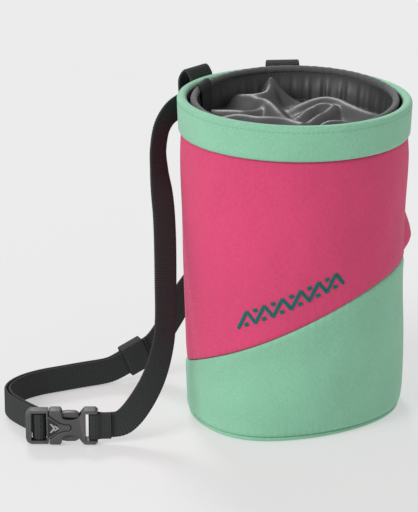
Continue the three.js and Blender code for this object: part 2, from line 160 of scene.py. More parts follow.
class Finish:
    """A procedural material whose nodes are added one by one."""

    def __init__(self, name, **sockets):
        self.material = bpy.data.materials.new(name)
        self.material.use_nodes = True
        self.tree = self.material.node_tree
        self.shader = self.tree.nodes["Principled BSDF"]
        for key, value in sockets.items():
            self.shader.inputs[key.replace("_", " ")].default_value = value
        self.coordinates = self.tree.nodes.new("ShaderNodeTexCoord")

    def node(self, kind, inputs=None, **settings):
        made = self.tree.nodes.new("ShaderNode" + kind)
        for key, value in settings.items():
            setattr(made, key, value)
        for key, value in (inputs or {}).items():
            if isinstance(value, bpy.types.NodeSocket):
                self.tree.links.new(value, made.inputs[key])
            else:
                made.inputs[key].default_value = value
        return made

    def place(self, scale, source):
        out = self.coordinates.outputs[source]
        return self.node("Mapping", {"Vector": out, "Scale": scale}).outputs[0]

    def noise(self, scale, stretch=(1, 1, 1), detail=3.0, source="UV"):
        inputs = {"Vector": self.place(stretch, source), "Scale": scale, "Detail": detail}
        return self.node("TexNoise", inputs).outputs["Fac"]

    def wave(self, pitch, direction):
        """Bands a pitch apart: the node makes 20 / (2 pi) of them in each unit of its scale."""
        scale = 2 * math.pi / (20 * pitch)
        inputs = {"Vector": self.place((1, 1, 1), "UV"), "Scale": scale}
        return self.node("TexWave", inputs, bands_direction=direction).outputs["Fac"]

    def math(self, operation, a, b):
        return self.node("Math", {0: a, 1: b}, operation=operation).outputs[0]

    def spread(self, value, low, high, to_low=0.0, to_high=1.0):
        inputs = {"Value": value, "From Min": low, "From Max": high,
                  "To Min": to_low, "To Max": to_high}
        return self.node("MapRange", inputs).outputs[0]

    def tint(self, factor, dark, light):
        mix = self.node("Mix", data_type="RGBA")
        self.tree.links.new(factor, mix.inputs["Factor"])
        mix.inputs[6].default_value = (*dark, 1)
        mix.inputs[7].default_value = (*light, 1)
        self.tree.links.new(mix.outputs[2], self.shader.inputs["Base Color"])

    def bump(self, height, strength, distance):
        made = self.node("Bump", {"Height": height, "Strength": strength, "Distance": distance})
        self.tree.links.new(made.outputs["Normal"], self.shader.inputs["Normal"])


def linear(*rgb):
    """A display colour out of 255 as the linear colour that the nodes work in."""
    shares = (v / 255 for v in rgb)
    return tuple(c / 12.92 if c <= 0.04045 else ((c + 0.055) / 1.055) ** 2.4 for c in shares)


def scaled(colour, share):
    return tuple(c * share for c in colour)


def woven(name, colour, contrast=0.13, sheen=0.12):
    """A tight plain weave with slubs along both thread directions."""
    finish = Finish(
        name, Roughness=0.82, Sheen_Weight=sheen, Sheen_Roughness=0.5, Specular_IOR_Level=0.25)
    warp = finish.noise(330, (1, 7, 1))
    weft = finish.noise(330, (7, 1, 1))
    cloud = finish.noise(34, detail=2.0)
    threads = finish.math("ADD", warp, weft)
    even, blotch = finish.spread(threads, 0.6, 1.4), finish.spread(cloud, 0.3, 0.7, -0.15, 0.15)
    mixed = finish.math("ADD", even, blotch)
    finish.tint(mixed, scaled(colour, 1 - contrast), scaled(colour, 1 + contrast))
    weave = finish.math("MULTIPLY", finish.wave(0.0008, "X"), finish.wave(0.0008, "Y"))
    height = finish.math("ADD", finish.math("MULTIPLY", weave, 0.5), threads)
    finish.bump(height, 0.6, 0.0003)
    return finish.material


def satin(name, colour, roughness=0.45, crease=0.14, metallic=0.35):
    """Smooth cloth with a soft gloss and slight creases."""
    finish = Finish(name, Roughness=roughness, Specular_IOR_Level=1.0, Metallic=metallic)
    cloud = finish.noise(60, source="Object")
    finish.tint(finish.spread(cloud, 0.35, 0.65), scaled(colour, 0.85), scaled(colour, 1.15))
    thread = finish.wave(0.0005, "X")
    fold = finish.noise(90, source="Object")
    height = finish.math("ADD", finish.math("MULTIPLY", thread, 0.04), fold)
    finish.bump(height, crease, 0.0012)
    return finish.material


def webbing(name, colour):
    """Ribbed strap cloth with a fine twill and some fuzz."""
    finish = Finish(name, Roughness=0.7, Specular_IOR_Level=0.22)
    rib = finish.wave(RIB_PITCH * MM, "X")
    twill = finish.wave(0.0007, "DIAGONAL")
    fuzz = finish.noise(1500, detail=2.0)
    weave = finish.math("ADD", rib, twill)
    blend = finish.math("MULTIPLY", weave, finish.spread(fuzz, 0.2, 0.8, 0.3, 0.7))
    finish.tint(blend, scaled(colour, 0.6), scaled(colour, 1.75))
    finish.bump(finish.math("ADD", twill, fuzz), 0.5, 0.00018)
    return finish.material


def plastic(name, colour):
    """Moulded plastic, a little lighter along its sharp edges."""
    finish = Finish(name, Roughness=0.42, Specular_IOR_Level=0.45)
    grain = finish.noise(900, detail=4.0, source="Object")
    # Lighter where the mesh's pointiness shows a sharp edge, and mottled at random
    edge = finish.node("NewGeometry").outputs["Pointiness"]
    lighter_edges, mottled = finish.spread(edge, 0.505, 0.6, 0.0, 0.8), finish.spread(grain, 0.3, 0.7, 0.0, 0.25)
    edges_and_mottle = finish.math("ADD", lighter_edges, mottled)
    finish.tint(edges_and_mottle, colour, scaled(colour, 1.9))
    finish.bump(grain, 0.12, 0.0002)
    return finish.material


def fleece(name, colour):
    """Brushed pile."""
    finish = Finish(name, Roughness=0.95, Sheen_Weight=0.5, Sheen_Roughness=0.6)
    pile = finish.noise(700, detail=5.0, source="Object")
    finish.tint(finish.spread(pile, 0.3, 0.7), scaled(colour, 0.7), scaled(colour, 1.25))
    finish.bump(pile, 0.9, 0.0012)
    return finish.material


def plain(name, colour, roughness, metallic=0.0):
    """Foam or wire, hidden inside the fabric."""
    finish = Finish(name, Roughness=roughness, Metallic=metallic)
    grain = finish.noise(800, detail=2.0, source="Object")
    finish.tint(finish.spread(grain, 0.3, 0.7), scaled(colour, 0.85), scaled(colour, 1.1))
    finish.bump(grain, 0.3, 0.0003)
    return finish.material


MINT = woven("mint_fabric", linear(138, 197, 165), sheen=0.26)
RASPBERRY = woven("raspberry_fabric", linear(214, 70, 114))
SATIN = satin("grey_satin", linear(70, 70, 71))
# Dark satin for the strip inside the rim band, which paints in the shade that falls there
SHADE_SATIN = satin("painted_shade_satin", linear(66, 66, 68), 0.4, 0.5, 0.0)
BINDING = woven("grey_binding", linear(88, 88, 90), 0.3, 0.2)
WEBBING = webbing("black_webbing", linear(48, 51, 51))
PLASTIC = plastic("buckle_plastic", linear(66, 66, 67))
FLEECE = fleece("grey_fleece", linear(96, 96, 98))
FOAM = plain("foam", linear(215, 215, 210), 0.9)
STEEL = plain("spring_steel", linear(170, 170, 172), 0.35, 1.0)
MINT_THREAD = woven("mint_thread", linear(128, 188, 156), 0.15)
DARK_THREAD = woven("dark_thread", linear(34, 34, 36), 0.2)
TEAL_THREAD = woven("teal_thread", linear(0, 104, 100), 0.25, 0.3)
SILVER_PRINT = plastic("silver_print", linear(150, 150, 152))
# Near-black plastic for the web, and for the painted shade in the plug cover's hollows
DARK_PLASTIC_AND_SHADE = plastic("dark_plastic_and_painted_shade", linear(30, 30, 31))


# Meshes

def make_mesh(name, points, faces, material, uv=None, smooth=True):
    """uv is one (u, v) pair in metres for each corner of each face."""
    mesh = bpy.data.meshes.new(name)
    mesh.from_pydata((np.asarray(points) * MM).tolist(), [], [list(f) for f in faces])
    if uv is not None:
        layer = mesh.uv_layers.new(name="UVMap")
        layer.data.foreach_set("uv", np.asarray(uv, np.float32).ravel())
    mesh.polygons.foreach_set("use_smooth", [smooth] * len(mesh.polygons))
    mesh.materials.append(material)
    mesh.update()
    return linked(name, mesh)


def grid(name, points, material, u, v, wrap_rows=False, wrap_cols=False, caps=False):
    """A sheet or tube of quads over points[row, column]. u and v hold each row's and column's place in
    millimetres, with one more entry where they wrap round."""
    rows, cols = points.shape[:2]
    i = np.arange(rows if wrap_rows else rows - 1)
    j = np.arange(cols if wrap_cols else cols - 1)
    a, b = np.meshgrid(i, j, indexing="ij")
    corners = [(a, b), (a + 1, b), (a + 1, b + 1), (a, b + 1)]
    faces = np.stack([(p % rows) * cols + q % cols for p, q in corners], -1).reshape(-1, 4)
    flat = points.reshape(-1, 3)
    u, v = np.asarray(u), np.asarray(v)
    uv = np.stack([np.stack([u[p], v[q]], -1) for p, q in corners], 2).reshape(-1, 4, 2)
    if signed_volume(flat, faces) < 0:
        faces, uv = faces[:, ::-1], uv[:, ::-1]
    face_list, uv_list = faces.tolist(), uv.reshape(-1, 2) * MM
    if caps:
        ends = [list(range(cols)), list(range((rows - 1) * cols, rows * cols))]
        first_edge = set(zip(faces[0], np.roll(faces[0], -1)))
        for row, end in enumerate(ends):
            forward = any((p, q) in first_edge for p, q in zip(end, end[1:] + end[:1]))
            if row == 0:
                flip = forward
            face_list.append(end[::-1] if (flip if row == 0 else not flip) else end)
            edge_uv = np.stack([np.full(cols, u[-row]), v[:cols]], -1) * MM
            uv_list = np.vstack([uv_list, edge_uv])
    return make_mesh(name, flat, face_list, material, uv_list)


def revolved(name, outlines, radius, material):
    """A closed shell from one closed outline for each of ANGLES. radius sets the scale of its weave."""
    points = np.stack(outlines)
    u = np.linspace(0, 2 * math.pi * radius, ROUND_STEPS + 1)
    v = lengths(np.vstack([points[0], points[0][:1]]))
    return grid(name, points, material, u, v, wrap_rows=True, wrap_cols=True)


def signed_volume(points, quads):
    a, b, c, d = (points[quads[:, k]] for k in range(4))
    return float(np.sum(a * np.cross(b, c)) + np.sum(a * np.cross(c, d))) / 6


def wears(obj, body, replaced=()):
    """Rides obj on a body, and hides the CAD parts that it replaces."""
    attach(obj, body)
    if replaced:
        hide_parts(*replaced)


def lengths(points):
    """Distance along a line of points, starting at 0."""
    return np.concatenate([[0], np.cumsum(np.linalg.norm(np.diff(points, axis=0), axis=1))])


def unit(vectors):
    return vectors / np.linalg.norm(vectors, axis=-1, keepdims=True)


def smoothstep(value):
    t = np.clip(value, 0, 1)
    return t * t * (3 - 2 * t)


# The bag's outer face

def bag_radius(angle, height):
    rise = np.clip(np.asarray(height) / BAG_HEIGHT, 0, 1)
    bulge = np.sin(2 * angle)
    base = BASE_RADIUS * (1 + BASE_SKEW * bulge)
    return base + (RIM_RADIUS * (1 + RIM_SKEW * bulge) - base) * rise


def on_bag(angle, height, stand_off=0.0):
    angle, height = np.broadcast_arrays(angle, height)
    radius = bag_radius(angle, height) + stand_off
    return np.stack([radius * np.cos(angle), radius * np.sin(angle), height], -1)


def near(angle, middle, width):
    """1 at middle, falling to 0 a width or so to either side round the bag."""
    away = (np.asarray(angle) - middle + math.pi) % (2 * math.pi) - math.pi
    return np.exp(-(away / width) ** 2)


def seam_height(angle):
    sag = SEAM_SAG * near(angle, math.pi, SEAM_SAG_REACH)
    return SEAM_HEIGHT + SEAM_RISE * np.cos(angle + SEAM_TURN) - sag


def drape(angle, height):
    """Slow, slight waves of the bag's fabric."""
    a, h = angle, height
    slow = 0.42 * np.sin(2 * a + h / 47 + 0.6) * np.sin(h / 36 + 0.4)
    middle = 0.22 * np.sin(5 * a - h / 29 + 1.9) + 0.13 * np.sin(9 * a + h / 17)
    fine = 0.06 * np.sin(17 * a - h / 9 + 0.7) + 0.04 * np.sin(29 * a + h / 6)
    return slow + middle + fine


ANGLES = np.arange(ROUND_STEPS) / ROUND_STEPS * 2 * math.pi


def seam_dip(distance, depth=0.75, width=1.1):
    return -depth * np.exp(-(distance / width) ** 2)


def pucker(angle, distance, pitch=5.2, depth=0.10, reach=7.0):
    """Small gathers that die away from a seam."""
    count = round(2 * math.pi * MIDDLE_RADIUS / pitch)
    wobble = 1 + 0.5 * np.sin(5 * angle) * np.sin(11 * angle + 1)
    return depth * wobble * np.sin(count * angle) * np.exp(-distance / reach)


def around(name, section, material):
    """A closed shell round the bag. section(angle) gives its closed outline there."""
    return revolved(name, [section(a) for a in ANGLES], RIM_RADIUS, material)


def panel_section(low, high, outer, rows=56):
    """Section of a wall piece whose outer face stands off by outer(angle, height, from_low, from_high)."""
    share = np.linspace(0, 1, rows)
    ease = (1 - np.cos(math.pi * share)) / 2 * 0.35 + share * 0.65

    def section(angle):
        bottom, top = low(angle), high(angle)
        height = bottom + (top - bottom) * ease
        off = outer(angle, height, height - bottom, top - height)
        face = on_bag(angle, height, off)
        back = on_bag(angle, height[::-1], np.minimum(off[::-1] - 0.5, -PANEL_THICKNESS))
        return np.vstack([face, back])

    return section


# How far the foot has spread, where round the bag, and its reach round the bag and up the wall
FOOT_SPREADS = [(4.2, math.radians(-117), 0.42, 26), (3.4, math.radians(-12), 0.62, 85)]


def slump(angle, height):
    """How far the foot stands out beyond the plain wall."""
    return sum(most * near(angle, middle, reach) * np.exp(-(height / rise) ** 2)
               for most, middle, reach, rise in FOOT_SPREADS)


def upper_outer(angle, height, from_low, from_high):
    tuck = -1.25 * np.exp(-from_high / 11.0)
    fade = smoothstep(from_low / 10) * smoothstep(from_high / 14)
    stand = 0.25 + tuck + seam_dip(from_low) + seam_dip(from_high, 0.5, 0.9)
    stand = stand + slump(angle, height)
    gathers = pucker(angle, from_low) + pucker(angle + 0.3, from_high, depth=0.08)
    return stand + drape(angle, height) * fade + gathers


def lower_outer(angle, height, from_low, from_high):
    fade = smoothstep(from_low / 8) * smoothstep(from_high / 10)
    belly = 0.8 * np.exp(-((height - 20) / 30) ** 2) + slump(angle, height)
    stand = 0.35 + belly + seam_dip(from_low, 0.9, 1.3) + seam_dip(from_high)
    gathers = pucker(angle, from_high) + pucker(angle, from_low, 4.0, 0.16, 5.0)
    return stand + drape(angle, height) * fade + gathers


def make_bag_shell():
    seam_gap, foot, top = 0.12, 2.9, BAG_HEIGHT - BAND_HEIGHT - 0.2
    lower = panel_section(lambda a: foot, lambda a: seam_height(a) - seam_gap, lower_outer)
    wears(around("lower_shell", lower, MINT), "bag", ["lower_panel"])
    upper = panel_section(lambda a: seam_height(a) + seam_gap, lambda a: top, upper_outer, rows=72)
    wears(around("upper_shell", upper, RASPBERRY), "bag", ["upper_panel"])


def band_wave(angle):
    """How the band wanders in and out round the rim."""
    return 0.22 * np.sin(3 * angle + 0.4) + 0.1 * np.sin(8 * angle + 2) + 0.05 * np.sin(19 * angle)


def band_section(angle):
    """The folded band: up the outside, over the hoop, down the inside, and back inside itself."""
    low, top, fold = BAG_HEIGHT - BAND_HEIGHT, BAG_HEIGHT, BAND_FOLD
    heights = np.linspace(low, top - 2.2, 16)
    from_low = heights - low
    off = 0.55 + seam_dip(from_low, 0.55, 0.8) + band_wave(angle) * smoothstep(from_low / 8)
    off = off - 0.22 * np.exp(-((heights - BAND_STITCH_HEIGHT) / 0.9) ** 2)
    outer = np.stack([-off, heights], -1)
    turn = np.linspace(0, math.pi, 9)[1:-1]
    middle, half = fold / 2 - 0.15, fold / 2 + 0.3
    over = np.stack([middle - half * np.cos(turn), top - 2.0 + 2.1 * np.sin(turn)], -1)
    inner_heights = np.linspace(top - 2.2, top - BAND_TURN_IN, 6)
    inner = np.stack([0 * inner_heights + fold, inner_heights], -1)
    back_inner = np.stack([0 * inner_heights + fold - 0.8, inner_heights[::-1]], -1)
    back_over = np.stack([middle + (half - 0.8) * np.cos(turn), top - 2.0 + 1.3 * np.sin(turn)], -1)
    back_outer = np.stack([0.35 + np.linspace(0.4, 0.1, len(heights)), heights[::-1]], -1)
    outline = np.vstack([outer, over, inner, back_inner, back_over, back_outer])
    return on_bag(angle, outline[:, 1], -outline[:, 0])


def make_band():
    wears(around("rim_cover", band_section, MINT), "bag", ["rim_band"])

    # A dark satin strip over the band's inner face, just under its top: painted shade, standing in for the
    # shadow inside the rim.
    def facing(angle):
        heights = np.linspace(BAG_HEIGHT - 1.5, BAG_HEIGHT - BAND_TURN_IN, 8)
        crease = 0.06 * np.sin(61 * angle + heights / 2)
        face = on_bag(angle, heights, -BAND_FOLD - 0.40 + crease)
        back = on_bag(angle, heights[::-1], -BAND_FOLD - 0.05)
        return np.vstack([back, face])

    wears(around("rim_painted_shade_strip", facing, SHADE_SATIN), "bag")


def make_disc(name, material, replaced, top, bottom, inset, edge, waves=0.0, spread=0.0):
    """A disc at the bag's foot with a rounded edge. waves is the height of its quilting, and spread is
    how much of the wall's slump it follows. A pinhole at its axis keeps all its faces four sided."""
    shares = np.linspace(0.02, 1, 26)
    turn = np.linspace(-math.pi / 2, math.pi / 2, 7)[1:-1]
    middle, half = (top + bottom) / 2, (top - bottom) / 2
    outlines = []
    for angle in ANGLES:
        rim = bag_radius(angle, 0) - inset + spread * slump(angle, 0)
        under = np.stack([rim * shares - edge * shares, 0 * shares + bottom], -1)
        side = np.stack([rim - edge + edge * np.cos(turn), middle + half * np.sin(turn)], -1)
        radii = (rim - edge) * shares[::-1]
        ripple = waves * np.sin(radii / 3.1 + 2 * math.sin(3 * angle)) * (radii / rim)
        over = np.stack([radii, top + ripple], -1)
        out, height = np.vstack([under, side, over]).T
        outlines.append(np.stack([out * math.cos(angle), out * math.sin(angle), height], -1))
    wears(revolved(name, outlines, BASE_RADIUS, material), "bag", replaced)


def make_base():
    make_disc("base_cover", MINT, ["base_panel"], top=2.6, bottom=0.0, inset=0.0, edge=1.5, spread=1.0)
    make_disc("lining_floor", FLEECE, ["lining_base"], top=10.0, bottom=LINING_FOOT, inset=4.3,
              edge=1.2, waves=0.25)


def make_lining():
    outer = PANEL_THICKNESS + 2 * GAP

    def section(angle):
        heights = np.linspace(LINING_FOOT, BAG_HEIGHT - BAND_TURN_IN - GAP, 60)
        wave = 0.5 * np.sin(7 * angle + heights / 14) + 0.4 * np.sin(3 * angle - heights / 21)
        inner = outer + LINING_THICKNESS + 0.4 * wave
        face = on_bag(angle, heights, -inner)
        back = on_bag(angle, heights[::-1], -outer)
        return np.vstack([back, face])

    wears(around("lining_shell", section, FLEECE), "bag", ["lining_wall"])


# Rows of stitches

def capsule(length, radius):
    """Points and faces of one stitch or tooth that lies along X."""
    rings, sides = 5, 6
    t = np.linspace(-1, 1, rings)
    girth = np.sqrt(np.clip(1 - np.abs(t) ** 2.6, 0.02, 1))
    turn = np.arange(sides) / sides * 2 * math.pi
    points = np.array([[length / 2 * s, radius * g * math.cos(q), radius * g * math.sin(q)]
                       for s, g in zip(t, girth) for q in turn])
    faces = []
    for ring in range(0, (rings - 1) * sides, sides):
        for k in range(sides):
            beside = (k + 1) % sides
            faces.append([ring + k, ring + beside, ring + sides + beside, ring + sides + k])
    faces += [list(range(sides))[::-1], list(range((rings - 1) * sides, rings * sides))]
    return points, faces


def stitch_row(name, body, material, path, outward, pitch, length, radius):
    """Stitches along a line of points, each standing off its own outward direction."""
    along = lengths(path)
    count = int(along[-1] / pitch)
    base, faces = capsule(length, radius)
    points, quads = [], []
    reach = 0.5

    def at(s, values):
        return np.array([np.interp(s, along, values[:, c]) for c in range(3)])

    for k in range(count):
        s = (k + 0.5) * pitch
        x = unit(at(min(s + reach, along[-1]), path) - at(max(s - reach, 0), path))
        y = unit(np.cross(at(s, outward), x))
        z = np.cross(x, y)
        quads += [[q + len(points) * len(base) for q in face] for face in faces]
        points.append(at(s, path) + base @ np.stack([x, y, z]))
    blank_uv = np.zeros((sum(map(len, quads)), 2))
    wears(make_mesh(name, np.vstack(points), quads, material, blank_uv), body)


FULL_TURN = np.linspace(0, 2 * math.pi, 2 * ROUND_STEPS + 1)
OUTWARD = np.stack([np.cos(FULL_TURN), np.sin(FULL_TURN), 0 * FULL_TURN], -1)


def make_stitches():
    line = on_bag(FULL_TURN, BAND_STITCH_HEIGHT, 0.38 + band_wave(FULL_TURN))
    stitch_row("band_stitching", "bag", MINT_THREAD, line, OUTWARD, pitch=2.7, length=2.1, radius=0.24)


make_bag_shell()
make_band()
make_base()
make_lining()
make_stitches()


# Webbing

def spline(points, samples):
    """A centripetal Catmull-Rom curve through points, sampled evenly in its parameter."""
    points = np.asarray(points, float)
    first = 2 * points[0] - points[1]
    last = 2 * points[-1] - points[-2]
    p = np.vstack([first, points, last])
    gaps = np.maximum(np.linalg.norm(np.diff(p[:, :3], axis=0), axis=1), 1e-6)
    knots = np.concatenate([[0], np.cumsum(gaps ** 0.5)])
    out = []
    spans = len(points) - 1
    for s in np.linspace(0, spans, samples):
        i = min(int(s), spans - 1)
        t0, t1, t2, t3 = knots[i:i + 4]
        t = t1 + (t2 - t1) * (s - i)
        p0, p1, p2, p3 = p[i:i + 4]
        a1 = (t1 - t) / (t1 - t0) * p0 + (t - t0) / (t1 - t0) * p1
        a2 = (t2 - t) / (t2 - t1) * p1 + (t - t1) / (t2 - t1) * p2
        a3 = (t3 - t) / (t3 - t2) * p2 + (t - t2) / (t3 - t2) * p3
        b1 = (t2 - t) / (t2 - t0) * a1 + (t - t0) / (t2 - t0) * a2
        b2 = (t3 - t) / (t3 - t1) * a2 + (t - t1) / (t3 - t1) * a3
        out.append((t2 - t) / (t2 - t1) * b1 + (t - t1) / (t2 - t1) * b2)
    return np.array(out)


def evenly(points, spacing):
    """Points spaced evenly along a line of points, and how far along it each one is."""
    along = lengths(points[:, :3])
    count = max(int(round(along[-1] / spacing)), 2)
    s = np.linspace(0, along[-1], count + 1)
    return np.stack([np.interp(s, along, points[:, c]) for c in range(points.shape[1])], -1), s


RIB_STEP = RIB_PITCH / 4


def strap_frames(route):
    """Evenly spaced stations along route points of [x, y, z, turn], where turn is how far the strap's
    outer face has turned from +Y towards -X, in degrees."""
    path, s = evenly(spline(route, 60 * len(route)), RIB_STEP)
    centre = path[:, :3]
    turn = np.radians(path[:, 3])
    outward = np.stack([-np.sin(turn), np.cos(turn), 0 * turn], -1)
    along = unit(np.gradient(centre, axis=0))
    across = unit(np.cross(outward, along))
    facing = unit(np.cross(along, across))
    return centre, across, facing, s


def webbing_outline(width, thickness, edge=0.65):
    """The rounded section of a strap, as (across, facing) points."""
    half, rise = width / 2, thickness / 2
    flat = np.linspace(-(half - edge), half - edge, 7)
    turn = np.linspace(math.pi / 2, -math.pi / 2, 6)[1:-1]
    right = np.stack([half - edge + edge * np.cos(turn), rise * np.sin(turn)], -1)
    return np.vstack([
        np.stack([flat, np.full(7, rise)], -1), right,
        np.stack([flat[::-1], np.full(7, -rise)], -1), -right,
    ])


def sweep(name, centre, across, facing, s, width, thickness, material=WEBBING, rib=0.09,
          closed=False, pitch=RIB_PITCH):
    """A strap over stations, with raised ribs across it."""
    outline = webbing_outline(width, thickness)
    phase = np.cos(2 * math.pi * s / pitch)
    swell = 1 + rib / (thickness / 2) * phase
    narrow = 1 + 0.05 / (width / 2) * phase
    points = centre[:, None] + across[:, None] * (outline[None, :, :1] * narrow[:, None, None])
    points = points + facing[:, None] * (outline[None, :, 1:] * swell[:, None, None])
    u = np.append(s, s[-1] + s[1]) if closed else s
    v = lengths(np.vstack([outline, outline[:1]]))
    return grid(name, points, material, u, v, wrap_rows=closed, wrap_cols=True, caps=not closed)


# The strap's routes, as strap_frames takes them: loop to socket, loop to keeper, inside the keeper,
# round the turn, and round the plug's bar
SEWN_ROUTE = [
    [-58.6, 34.2, 169.0, 59], [-63.8, 28.4, 169.2, 57], [-69.6, 21.6, 166.8, 55], [-74.2, 14.0, 160.6, 52],
    [-76.2, 7.0, 150.0, 52], [-75.6, 1.2, 139.3, 47], [-74.2, -4.2, 128.5, 37], [-73.0, -8.6, 117.0, 35],
    [-72.3, -14.0, 102.8, 34], [-72.0, -22.0, 81.8, 35], [-72.0, -31.0, 61.2, 36], [-73.4, -38.6, 48.6, 32],
    [-78.4, -48.4, 33.2, 22], [-85.6, -56.4, 21.6, 10], [-92.4, -60.6, 14.0, 3], [-96.8, -61.8, 11.3, 0],
]
LONG_ROUTE = [
    [12.8, 64.6, 169.0, -10], [20.5, 64.6, 167.8, -8], [27.0, 66.5, 159.0, -2], [28.0, 69.5, 146.0, 0],
    [20.0, 72.0, 127.0, 2], [1.0, 73.0, 105.0, 4], [-24.0, 69.0, 82.0, 8], [-46.0, 60.5, 66.0, 14],
    [-61.0, 52.5, 50.0, 20], [-69.6, 48.2, 34.4, 22], [-80.5, 42.7, 19.8, 23], [-91.5, 37.95, 14.7, 23],
]
KEPT_ROUTE = [
    [-91.5, 37.95, 14.7, 23], [-102.5, 33.2, 9.6, 23], [-106.4, 31.5, 8.4, 24], [-110.4, 29.7, 8.0, 24],
]
TURN_ROUTE = [
    [-121.0, 24.9, 7.9, 24], [-134.4, 18.4, 7.8, 26], [-146.0, 12.2, 7.8, 33], [-155.6, 4.0, 7.8, 48],
    [-161.8, -6.0, 7.8, 68], [-163.6, -16.5, 7.9, 90], [-160.6, -28.0, 8.1, 112], [-154.6, -38.6, 8.6, 121],
    [-149.6, -47.0, 9.4, 122], [-146.4, -53.2, 10.0, 116], [-145.2, -57.6, 10.3, 100],
]
WRAP_ROUTE = [
    [-145.0, -61.8, 10.3, 95], [-143.8, -64.4, 10.3, 135], [-141.6, -65.2, 10.3, 180],
    [-139.6, -64.2, 10.3, 228], [-138.8, -61.8, 10.3, 262], [-138.9, -59.6, 10.3, 266],
]
# The strap's end, folded round the socket's bar: [along the buckle, outwards, turn]
FOLD_ROUTE = [
    [27.4, -1.0, 180], [24.5, -1.0, 180], [21.8, -1.2, 178], [19.6, -2.3, 182], [17.4, -2.55, 180],
    [16.0, -1.9, 135], [15.6, 0.0, 90], [16.0, 1.9, 45], [17.4, 2.55, 0], [19.6, 2.3, -2], [21.8, 1.2, 2],
    [24.5, 1.0, 0],
]


def behind(route):
    """The same route one layer further in, run the other way."""
    moved = []
    for x, y, z, turn in reversed(route):
        angle = math.radians(turn)
        moved.append([x + LAYER * math.sin(angle), y - LAYER * math.cos(angle), z, turn + 180])
    return moved


def back_run_route():
    angles = np.radians(np.linspace(143, 86, 8))
    return [[*on_bag(a, BAG_HEIGHT - 14, 1.4), math.degrees(a) - 90] for a in angles]


def make_belt():
    fold = [[BUCKLE[0] + x, BUCKLE[1] + y, BUCKLE[2], turn] for x, y, turn in FOLD_ROUTE]
    sewn = fold + SEWN_ROUTE[::-1]
    whole = sewn + back_run_route() + LONG_ROUTE
    strap = sweep("belt_strap", *strap_frames(whole), STRAP_WIDTH, SWEPT_THICKNESS)
    wears(strap, "bag", ["socket_fold", "belt_sewn_strand", "belt_back_run", "belt_long_strand"])

    tail = behind(TURN_ROUTE[:-2])
    turned = KEPT_ROUTE + TURN_ROUTE + WRAP_ROUTE + tail + behind(KEPT_ROUTE)
    turned_strap = sweep("belt_turn_strap", *strap_frames(turned), STRAP_WIDTH, SWEPT_THICKNESS)
    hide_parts("belt_turn", "belt_wrap", "belt_tail")
    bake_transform(turned_strap)

    tip = behind(KEPT_ROUTE)[-1:] + behind([LONG_ROUTE[-2], LONG_ROUTE[-1]])[1:]
    first, last = (np.array(p) for p in tip)
    end = first + (last - first) * 0.72
    tip_route = [list(first + (end - first) * share) for share in (0, 0.33, 0.66, 1)]
    tail_tip = sweep("belt_tail_tip", *strap_frames(tip_route), STRAP_WIDTH, SWEPT_THICKNESS)
    wears(tail_tip, "bag", ["belt_tail_end"])


def arch_frames(angle, points):
    """Stations of an arch that stands out from a wall. A point is [distance from the axis, height]."""
    path = np.array([[out * math.cos(angle), out * math.sin(angle), height] for out, height in points])
    path, s = evenly(spline(path, 60 * len(points)), RIB_STEP)
    across = np.tile([-math.sin(angle), math.cos(angle), 0], (len(path), 1))
    facing = unit(np.cross(unit(np.gradient(path, axis=0)), across))
    return path, across, facing, s


def make_loop(name, angle, rise, replaced):
    out = float(bag_radius(angle, BAG_HEIGHT)) + STRAP_THICKNESS / 2 + 0.4
    top = BAG_HEIGHT
    points = [
        [out, top - 5], [out + 0.4, top], [out + 4.2, top + rise], [out + 8.6, top - 1],
        [out + 8.8, top - 10], [out + 7.8, top - 20], [out + 3, top - 27], [out - 0.5, top - 31],
    ]
    wears(sweep(name, *arch_frames(angle, points), LOOP_WIDTH, STRAP_THICKNESS), "bag", [replaced])


def make_brush_holder():
    """A band that stands out from the wall, with its front edge drawn in towards the wall."""
    out = float(bag_radius(BRUSH_ANGLE, 100)) + 1.2
    points = [
        [out + 0.5, 121], [out + 0.9, 117], [out + 3.4, 108], [out + 6, 98], [out + 6.4, 92],
        [out + 3.6, 87], [out + 0.6, 83.5],
    ]
    holder = sweep("brush_band", *arch_frames(BRUSH_ANGLE, points), BRUSH_WIDTH, 1.2, RASPBERRY, rib=0.0)
    for vertex in holder.data.vertices:
        x, y, z = vertex.co / MM
        turned = math.atan2(y, x)
        wall = float(bag_radius(turned, z)) + 0.9
        forward = (BRUSH_ANGLE - turned) * wall / (BRUSH_WIDTH / 2) - 0.3
        fall = 0.85 * smoothstep(forward / 0.7) if forward > 0 else 0.2 * forward ** 2
        stand = 1.3 * (math.hypot(x, y) - wall) * (1 - fall)
        vertex.co = Vector(((wall + stand) * math.cos(turned), (wall + stand) * math.sin(turned), z)) * MM
    wears(holder, "bag", ["brush_holder"])


